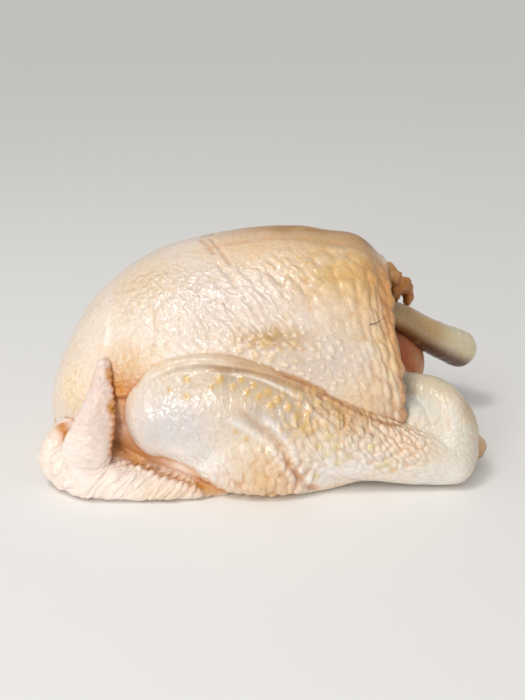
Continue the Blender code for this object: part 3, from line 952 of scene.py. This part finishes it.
# Golden follicles of the knee and the top of the leg: their places and how large they are
GOLDEN_FOLLICLES = (
    ((-34.6, 58.8, 59.9), 2.3), ((-34.5, 62.4, 53.2), 2.2), ((-42.3, 59.8, 55.1), 1.8),
    ((-23.6, 61.6, 57.4), 1.6), ((-19.7, 59.9, 60.3), 2.5), ((-13.8, 61.5, 57.4), 1.9),
    ((-10.2, 59.5, 60.2), 2.0), ((-7.4, 62.1, 55.2), 1.9), ((-4.6, 60.5, 57.6), 1.9),
    ((-2.1, 62.4, 52.9), 2.3), ((1.6, 61.1, 54.7), 2.3), ((3.3, 63.0, 49.4), 2.3),
    ((6.3, 61.7, 51.3), 2.4), ((10.8, 62.3, 47.3), 2.4), ((14.3, 62.9, 43.5), 2.2),
    ((15.7, 61.0, 48.2), 2.1), ((19.4, 61.5, 44.8), 2.1), ((17.2, 63.6, 38.2), 2.0),
    ((22.0, 63.0, 37.0), 1.9), ((-12.8, 65.9, 37.4), 1.8), ((-8.0, 65.7, 33.6), 1.8),
)

# Flat spots of yellow fat under the skin of the lower leg
FAT_SPOTS = (
    (29.3, 62.3, 33.8), (24.8, 63.2, 28.3), (28.8, 62.5, 24.6), (33.3, 62.2, 27.8),
    (34.0, 61.4, 19.2), (38.7, 61.4, 21.8), (49.2, 59.8, 26.5), (53.5, 59.5, 16.0),
    (57.1, 59.3, 17.7), (60.0, 58.7, 13.8), (24.2, 59.8, 11.3),
)
FAT_SPOT_RADII = (3.4, 5, 3.2)


def leg(name, side, hock, shank, slim, web):
    """A folded leg: the thigh under the drumstick, the fold of skin over both, and the shank tucked in."""
    muscle = (drumstick_stations(hock, slim), UP, 2.1)
    limbs = [muscle, (THIGH, UP, 2.5), (LEG_FOLD, UP, 2), (shank, UP, 2)]
    if web:
        limbs.append((HOCK_WEB, UP, 2))
    form = limbs_skin(name, limbs, side, LEG_GRID)
    points = points_of(form)
    which, _, _, share, _ = limb_frame(points, limbs, side)
    _, along, round_it, _, clear = limb_frame(points, [muscle], side)

    # The same places on a leg whose hock lies as low as the near one, for which the marks are listed
    level = points.copy()
    level[:, 2] -= (hock[2] - NEAR_HOCK[2]) * np.clip((points[:, 0] - KNEE[0]) / (hock[0] - KNEE[0]), 0, 1)

    # The far shank, which stands out of the vent as a bare stub, and the part of the leg that has flesh
    stub = 0 * along if web else (which == 3) * ease(share * 12)
    fleshy = 1 - ease((level[:, 0] - 68) / 20)
    height = 0.45 * swell(points, 18, 11) + 0.22 * swell(points, 7, 12)
    height += crease(level, THIGH_FOLD, 1.5, 1.0)
    for line in STRETCHED_SKIN:
        height += ridge(level, line, 0.8, 0.6)
    height += crease(level, UNDER_CREASE, 1.0, 1.0) + ridge(level, FOLD_LIGHT, 0.7, 0.6)
    for line in SIDE_FOLDS:
        height += crease(level, line, 0.7, 0.6)
    golden = sum(near(level, spot, (1.2 * size, 2 * size, 1.3 * size)) for spot, size in GOLDEN_FOLLICLES)
    height += 0.5 * golden
    stub_end = stub * ease(share * 4 - 2.5)
    ring_place = limb_frame(points, [limbs[3]], side)[1] / RING_SPACING + 0.3 * swell(points, 7, 13)
    rings = stub_end * np.cos(2 * math.pi * ring_place)
    height += 0.12 * rings

    # The top of the far hock is a little lower than the solid's, since it doesn't show over the shank
    peak = 0 * along if web else (1 - stub) * near(points, (98, 46, 50), (16, 16, 12))
    height -= 1.4 * peak
    raise_skin(form, points, height * (1 - 0.4 * stub))
    zones = (
        ("#ead5c1", (-60, 54, 42), (14, 26, 26), 0.9),
        ("#b8a186", (-14, 58, 62), (50, 16, 16), 0.9),
        ("#be9f74", (14, 60, 50), (40, 16, 16), 0.9),
        ("#c6b8ae", (4, 64, 42), (36, 16, 14), 0.9),
        ("#c99d50", (17, 62, 40), (16, 14, 12), 0.5),
        ("#d3ab74", (38, 58, 42), (32, 22, 16), 0.9),
        ("#f0eae5", (34, 60, 14), (58, 22, 20), 1),
        ("#d2cccc", (-42, 62, 36), (36, 26, 36), 1),
        ("#f0eae6", (-32, 62, 18), (34, 22, 18), 1),
        ("#e2bb8e", (3, 64, 12), (28, 26, 24), 1),
        ("#efd4b8", (66, 54, 30), (22, 18, 20), 1),
        ("#dad5c8", (90, 50, 26), (24, 28, 32), 1),
        ("#ebeae4", (82, 56, 7), (34, 22, 15), 0.9),
        ("#d9d7cb", (74, 38, 38), (22, 22, 18), 1),
        ("#d2c29c", (82, 34, 46), (20, 18, 9), 0.7),
        ("#d2c29c", (99, 44, 30), (8, 14, 18), 0.35),
        ("#c3a684", (99, 40, 38), (9, 20, 20), 0.8),
    )
    lines = (
        # Painted shade in the thigh fold
        ("#c07c38", THIGH_FOLD, 1.4, 0.35),
        ("#b8702c", THIGH_FOLD[4:], 1.6, 0.7),
        # Painted highlights on the stretched skin
        ("#f6efe6", STRETCHED_SKIN[1], 0.8, 0.4),
        ("#fbf6f0", STRETCHED_SKIN[2], 1.3, 0.6),
        ("#fbf6f0", STRETCHED_SKIN[3], 1.3, 0.7),
        # Painted shade in the leg crease and in the crease under the fold
        ("#cf9048", LEG_CREASE, 2.0, 0.4),
        ("#9a5218", LEG_CREASE[2:], 0.8, 0.8),
        ("#b8782f", UNDER_CREASE, 0.9, 0.5),
        # A painted highlight along the fold's lit edge, then painted shade in the side folds
        ("#fdf6ee", FOLD_LIGHT, 0.8, 0.7),
        *(("#bf7f3c", line, 0.8, 0.5) for line in SIDE_FOLDS),
    )
    tone = overlaid(painted(level, "#e6d3ba", zones), streaks(level, lines))
    # The far stub's underside, which takes painted shade
    under = ease((52.5 - 0.6 * (points[:, 0] - 88) - points[:, 2]) / 9)
    yellow = sum(near(level, spot, FAT_SPOT_RADII) for spot in FAT_SPOTS)
    overlays = (
        ("#d8c060", 0.6 * np.minimum(yellow, 1)),
        ("#dcae4a", 0.7 * np.minimum(1.3 * golden, 1)),
        ("#c9a470", stub),
        ("#d6c8a4", stub_end),
        # Painted shade inside the vent, near-black brown where the leg lies in it
        ("#66301a", near(points, (54, 38, 56), (16, 9, 14))),
        # Painted shade on the stub's underside, and a painted sheen on the upper side of its ringed end
        ("#633715", 0.95 * stub * under),
        ("#e9e2cc", 0.2 * (stub_end + 0.4 * rings) * (1 - under)),
        ("#c0ab86", peak),
    )
    creased = near(level, (56, 57, 34), (46, 28, 25))
    thigh = near(level, (4, 62, 12), (38, 24, 24))
    knee = near(level, (-34, 62, 40), (46, 26, 34))
    lower = 0.4 * near(level, (36, 60, 16), (54, 24, 24)) + 0.8 * near(level, (72, 56, 24), (28, 20, 22))
    dotted = 1.2 * near(level, (26, 62, 42), (40, 28, 26)) - 1.4 * near(level, (-50, 60, 42), (34, 30, 40))
    stretched = near(level, (-20, 62, 18), (44, 22, 20)) + 1.1 * near(level, (28, 61, 32), (40, 20, 30))
    fold_top = 0.9 * near(level, (-24, 58, 66), (46, 20, 18))
    smooth = np.maximum(fold_top, 0.85 * near(level, (-54, 58, 26), (30, 26, 30)))
    wet = near(level, (-30, 62, 40), (50, 28, 32)) + 0.8 * near(level, (12, 60, 54), (44, 16, 18))
    skin = (1 - stub) * clear
    bare = skin * fleshy
    store_skin(
        form,
        (along, round_it),
        overlaid(tone, overlays),
        0.35 + wet + 0.3 * stub,
        fat=1 - 0.85 * near(level, (94, 48, 26), (44, 40, 44)) - 0.5 * knee,
        follicle=bare * (dotted - 0.8 * creased - thigh),
        pebble=bare * (1.1 * creased + lower - 1.5 * thigh),
        cushion=bare * 1.7 * thigh,
        goose=skin * 0.7 * near(level, (90, 50, 26), (30, 30, 36)),
        stretch=bare * stretched,
        web=skin * (0.25 + 0.55 * knee) * (1 - thigh) * (1 - smooth),
    )
    return form


# Edges of the wing where quills were pulled, a dark speck on the hand, and two hairs, on the near side
HAND_EDGE = (
    (-71, 47.5, 61.5), (-70.2, 50.3, 54.5), (-69.1, 52.1, 46.7), (-69.7, 54.5, 40),
    (-70.3, 56.2, 33), (-71.6, 57.5, 24), (-73.3, 59.2, 19.6),
)
WRIST_EDGE = ((-97.6, 40, 29.4), (-96.8, 41.2, 27.6), (-95, 43.8, 25.6), (-93.5, 45.5, 22))
FOREARM_EDGE = (
    (-71.3, 56.1, 16.1), (-65.5, 54.8, 15), (-60.6, 56.1, 13.4), (-55.6, 58.8, 12.3), (-50.8, 60.7, 11.2),
    (-46.1, 61.6, 10.1), (-41.4, 62.5, 9.1), (-36.7, 63.2, 7.8), (-32.1, 63, 6.7), (-27.5, 62.2, 5.7),
)
FOREARM_TOP = (
    (-65.7, 51.7, 16.9), (-60.9, 52.9, 14.9), (-56.2, 54, 13.4), (-51.3, 55.8, 12.2), (-46.5, 57.7, 11.1),
    (-41.7, 59.2, 10.4), (-36.9, 60.4, 9.4), (-32.2, 61.3, 8.4), (-22.9, 61.3, 5.1),
)
HAND_SPECK = ((-69.9, 53.9, 43.2), (1.2, 2, 1.2))
FLANK_HAIR = ((48.2, 42, 80), (50.7, 41.8, 80.3), (53.6, 40, 81.4), (56.4, 37.2, 83))
WING_HAIR = ((-72.3, 48, 21.6), (-70.1, 50.6, 19.8), (-68.2, 51.6, 19.2), (-66.3, 51.6, 19.6))
HAIR_POINTS = 16


def wing(name, side):
    """A wing folded in a Z: the upper wing back, the fore wing forward, the tip up against the breast."""
    form = limbs_skin(name, WING_LIMBS, side, WING_GRID)
    points = points_of(form)
    which, along, round_it, _, clear = limb_frame(points, WING_LIMBS, side)
    height = 0.35 * swell(points, 12, 21) + 0.2 * swell(points, 5, 22)
    height += teeth(points, HAND_EDGE, 1.6, 1.5) + teeth(points, FOREARM_EDGE, 1.7, 2.0)
    height += crease(points, FOREARM_TOP, 2.2, 1.2, 0.0)
    raise_skin(form, points, height)
    zones = (
        ("#d8beb4", (-77, 58, 42), (16, 18, 34), 0.9),
        ("#dabfb2", (-74, 52, 58), (10, 14, 20), 0.9),
        ("#e9d9cf", (-84, 62, 18), (18, 18, 16), 0.9),
        ("#f3e3d6", (-99, 50, 16), (18, 26, 22), 0.9),
        ("#d9cbbf", (-89, 42, 34), (9, 10, 10), 0.8),
        # Painted shade: the orange band where the forearm lies against the leg
        ("#cc8f52", (-56, 49, 17), (44, 12, 8), 1),
        ("#e2c9a4", (-44, 66, 6), (26, 14, 10), 0.8),
        ("#cf9650", (-22, 60, 6), (15, 16, 10), 0.9),
    )
    lines = (
        ("#d18327", HAND_EDGE, 1.7, 0.9),
        # Painted shade in the groove along the forearm's top
        ("#bf7d1c", FOREARM_TOP, 3.2, 1.0),
        ("#cc8026", WRIST_EDGE, 3.0, 1.0),
    )
    upper, fore, web, edge, hand = (1.0 * (which == k) for k in range(5))
    golden = near(points, (-70.5, 50.5, 59.5), (3.4, 5, 6)) + near(points, (-70.2, 54, 44), (3.6, 5, 7))
    overlays = (
        # Painted shade on the upper wing in the gap between the hand and the knee
        ("#bb7a3c", (upper + web) * near(points, (-62, 46, 24), (34, 24, 26))),
        *streaks(points, lines),
        ("#cb8520", np.minimum(1.4 * golden, 1)),
        ("#3d2615", near(points, *HAND_SPECK)),
    )
    store_skin(
        form,
        (along + 60 * which - 0.9 * round_it * fore, round_it),
        overlaid(painted(points, "#f5e3d8", zones), overlays),
        0.2,
        fat=0.5,
        pebble=clear * (0.15 * fore + 0.2 * edge),
        goose=clear * 0.4 * edge,
        fold=clear * (0.9 * fore + 0.3 * hand + 0.1 * edge),
        web=clear * 0.4 * hand,
    )
    return form


def flesh(name, parts, base, zones, rough):
    """Soft tissue at the vent, the tail or the neck end, fused and uneven."""
    form = one_skin(name, parts, FLESH_GRID, 3)
    points = points_of(form)
    height = 0.5 * swell(points, 9, 31) + rough * swell(points * (1, 1, 0.5), 2.6, 32)
    height += 0.5 * rough * swell(points, 1.6, 33)
    raise_skin(form, points, height)
    pebble = 0.5 * near(points, (70, 4, 6), (60, 40, 26))
    grain = (points[:, 0], points[:, 1] + points[:, 2])
    store_skin(form, grain, painted(points, base, zones), 0.2, pebble=pebble)
    return form


def tail():
    """The tail, with the far flank that shows behind the shank."""
    parts = [limb("tail_0", TAIL, -1, UP, 2.3), lump("tail_1", *FAR_FLANK)]
    # The far flank: painted shade, deep orange-brown as it lies behind the shank
    zones = (("#c85c08", (68, 20, 40), (34, 40, 40), 1), ("#dcae7c", (112, 12, 3), (18, 34, 16), 1))
    return flesh("tail_skin", parts, "#d9b183", zones, 0.25)


def vent_tissue():
    """The ragged tissue at the top of the vent."""
    parts = [lump(f"shred_{i}", *shred) for i, shred in enumerate(VENT_SHREDS)]
    zones = (("#d3a468", (60, 2, 93), (12, 14, 8), 0.8), ("#7a4420", (64, 2, 78), (10, 12, 9), 0.7))
    return flesh("vent_tissue", parts, "#b5732f", zones, 1.6)


def neck():
    """The lip of skin that is folded under at the neck end."""
    return flesh("neck_skin", [lump("neck_0", *NECK_SKIN)], "#ecd2ac", (), 0.2)


def shade_seams(forms):
    """Paints orange-brown shade on the skin where one piece meets another: painted shade in the folds between
    the pieces. Only the points with another piece's box of points beside them are measured."""
    held = [points_of(form) for form in forms]
    row = np.array((1, BOXES_IN_ROW, BOXES_IN_ROW**2))
    around = np.array(list(np.ndindex(3, 3, 3))) @ row
    for i, form in enumerate(forms):
        others = np.concatenate([p for j, p in enumerate(held) if j != i])
        taken = np.unique(np.add.outer(np.floor(others / SEAM_REACH).astype(np.int64) @ row, around))
        mine = (np.floor(held[i] / SEAM_REACH).astype(np.int64) + 1) @ row
        close = np.nonzero(np.isin(mine, taken))[0]
        tree = KDTree(len(others))
        for k, place in enumerate(others.tolist()):
            tree.insert(place, k)
        tree.balance()
        away = np.array([tree.find(place)[2] for place in held[i][close].tolist()], float)
        share = np.zeros(len(held[i]))
        share[close] = SEAM_STRENGTH * ease(1 - away / SEAM_REACH)
        share *= 1 - 0.8 * near(held[i], *SEAM_SOFT)
        tone = np.empty(len(share) * 4, np.float32)
        field = form.data.attributes["tone"].data
        field.foreach_get("color", tone)
        tone = tone.reshape(-1, 4)
        tone[:, :3] += share[:, None] * (tone[:, :3] * SEAM_SHADE - tone[:, :3])
        field.foreach_set("color", tone.ravel())


def stand_for_bird(form):
    """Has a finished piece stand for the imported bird."""
    form.data.shade_smooth()
    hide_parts("chicken")
    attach(form, "root")


def dress(form, tree, material, rise):
    """Raises the skin's marks, lays its base flat at this rise, and keeps relief inside the bird's box."""
    with_nodes(form, tree, {"Skin": material})
    low, high = (np.array(c) / MM - FROM_MIDDLE for c in cad_corners)
    set_points(form, np.clip(points_of(form), low + (0, 0, rise), high))
    stand_for_bird(form)


def add_hair(name, line, radius, tree, material):
    """A hair of this radius in millimetres along a line on the near side."""
    points = through(np.array(line) * (1, -1, 1), HAIR_POINTS)
    mesh = bpy.data.meshes.new(name)
    mesh.from_pydata((points + FROM_MIDDLE) * MM, [(i, i + 1) for i in range(HAIR_POINTS - 1)], [])
    stand_for_bird(with_nodes(in_scene(name, mesh), tree, {"Radius": radius * MM, "Skin": material}))


def place_facing(name, data, place, way):
    """Puts a camera or a light at a place in metres, looking this way."""
    holder = in_scene(name, data)
    holder.location = place
    holder.rotation_euler = way.to_track_quat("-Z", "Y").to_euler()
    return holder


def add_camera():
    """The photo's view, a little from above and square to the bird's side."""
    camera = bpy.data.cameras.new("photo_view")
    camera.sensor_fit = "VERTICAL"
    camera.sensor_height = SENSOR_HEIGHT
    camera.sensor_width = SENSOR_HEIGHT * PICTURE[0] / PICTURE[1]
    camera.lens = FOCAL_PIXELS / PICTURE[1] * SENSOR_HEIGHT
    camera.shift_x = (PICTURE[0] / 2 - PICTURE_CENTRE[0]) / PICTURE[1]
    camera.shift_y = (PICTURE_CENTRE[1] - PICTURE[1] / 2) / PICTURE[1]
    camera.clip_start = 0.01
    rise = math.radians(CAMERA_ELEVATION)
    back = Vector((0, -math.cos(rise), math.sin(rise)))
    aim = Vector((np.array(CAMERA_AIM) + FROM_MIDDLE) * MM)
    bpy.context.scene.camera = place_facing("photo_view", camera, aim + back * CAMERA_DISTANCE * MM, -back)


def add_studio():
    """A plain pale floor under soft light from the upper left, and a bright even surround."""
    bpy.ops.mesh.primitive_plane_add(size=40, location=(0, 0, 0))
    floor = bpy.context.object
    floor.name = "floor"
    # Uncoated white paper: its matted fibres scatter light evenly, so it has no glint
    paper = plain_material("matt_white_paper", "#f2f1ef", 0.9, {"Specular IOR Level": 0.1})
    floor.data.materials.append(paper)
    world = bpy.data.worlds.new("white_surround")
    world.use_nodes = True
    background = world.node_tree.nodes["Background"]
    background.inputs["Color"].default_value = (1.0, 1.0, 1.0, 1.0)
    background.inputs["Strength"].default_value = SURROUND_STRENGTH
    bpy.context.scene.world = world
    bpy.context.scene.view_settings.view_transform = "Standard"
    sun = bpy.data.lights.new("north_sky", "SUN")
    sun.energy = SUN_STRENGTH
    sun.color = SUN_COLOUR
    sun.angle = math.radians(SUN_SPREAD)
    place_facing("north_sky", sun, (0, 0, 0), Vector(SUN_WAY))
    for name, place, size, power in SOFTBOXES:
        light = bpy.data.lights.new(name, "AREA")
        light.size = size
        light.energy = power
        place_facing(name, light, place, Vector(LIGHTS_AIM) - Vector(place))


add_camera()
add_studio()
skin = skin_material()
relief = relief_tree()

# Each piece, and how many millimetres its base lies over the surface, so that no two bases lie in one plane
pieces = (
    (trunk(), 0),
    (leg("near_leg_skin", -1, NEAR_HOCK, NEAR_SHANK, 1, True), 0.15),
    (leg("far_leg_skin", 1, FAR_HOCK, FAR_SHANK, FAR_HOCK_SLIM, False), 0.15),
    (wing("near_wing_skin", -1), 0.1),
    (wing("far_wing_skin", 1), 0.1),
    (tail(), 0.2),
    (neck(), 0.25),
    (vent_tissue(), 0),
)
# Painted shade where one piece of skin meets another
shade_seams([form for form, rise in pieces])
for form, rise in pieces:
    dress(form, relief, skin, rise)

# What is left of feathers: thin shafts of horn, dark or pale, smooth and slightly see-through
see_through = {"Subsurface Weight": 0.2, "Subsurface Scale": 1 * MM}
dark_hair = plain_material("dark_feather_hair", "#5b3a28", 0.5, see_through)
pale_hair = plain_material("pale_feather_hair", "#e8c488", 0.4, see_through)
strands = strand_tree()
add_hair("flank_hair", FLANK_HAIR, 0.22, strands, dark_hair)
add_hair("wing_hair", WING_HAIR, 0.25, strands, pale_hair)
